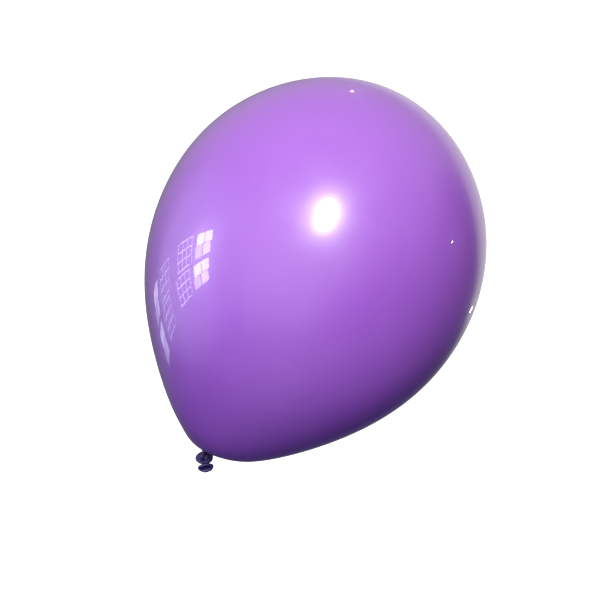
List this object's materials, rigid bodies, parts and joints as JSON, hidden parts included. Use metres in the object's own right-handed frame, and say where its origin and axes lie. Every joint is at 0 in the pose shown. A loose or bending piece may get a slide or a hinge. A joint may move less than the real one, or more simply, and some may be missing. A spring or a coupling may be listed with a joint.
{
  "type": "latex balloon",
  "caption": "Tied round latex balloon blown up to a glossy teardrop, with a gathered throat, an overhand knot and a short flared tail that ends in a rolled lip",
  "frame": {"origin": "middle of the throat, where the inflated skin is gathered into the tied neck and a ribbon would be tied", "axes": "+Z from the throat towards the crown, along the envelope; the tied neck is bent over towards +X"},
  "size_m": [0.2702, 0.2702, 0.3597],
  "materials": {
    "envelope_latex": "gloss",
    "neck_latex": "satin"
  },
  "bodies": {
    "skin": {"envelope": "envelope_latex"},
    "throat": {"throat_gather": "neck_latex"},
    "neck": {"neck_stem": "neck_latex"},
    "knot": {"knot_core": "neck_latex", "knot_tuck": "neck_latex", "knot_turn": "neck_latex"},
    "tail": {"tail_tube": "neck_latex", "rolled_lip": "neck_latex"}
  },
  "joints": [
    {"name": "neck_swing", "type": "hinge", "parent": "skin", "child": "throat", "pos_m": [0, 0, 0], "axis": [0, 1, 0], "range_deg": [-5, 65], "stiffness_Nm_per_rad": 0.004},
    {"name": "neck_nod", "type": "hinge", "parent": "throat", "child": "neck", "pos_m": [0, 0, 0], "axis": [0.848, 0, 0.5299], "range_deg": [-30, 30], "stiffness_Nm_per_rad": 0.004},
    {"name": "knot_twist", "type": "hinge", "parent": "neck", "child": "knot", "pos_m": [0, 0, 0], "axis": [-0.5299, 0, 0.848], "range_deg": [-90, 90], "stiffness_Nm_per_rad": 0.002},
    {"name": "tail_bend", "type": "hinge", "parent": "knot", "child": "tail", "pos_m": [0.00785, 0.0029, -0.01219], "axis": [0, 1, 0], "range_deg": [-25, 25], "stiffness_Nm_per_rad": 0.002}
  ]
}
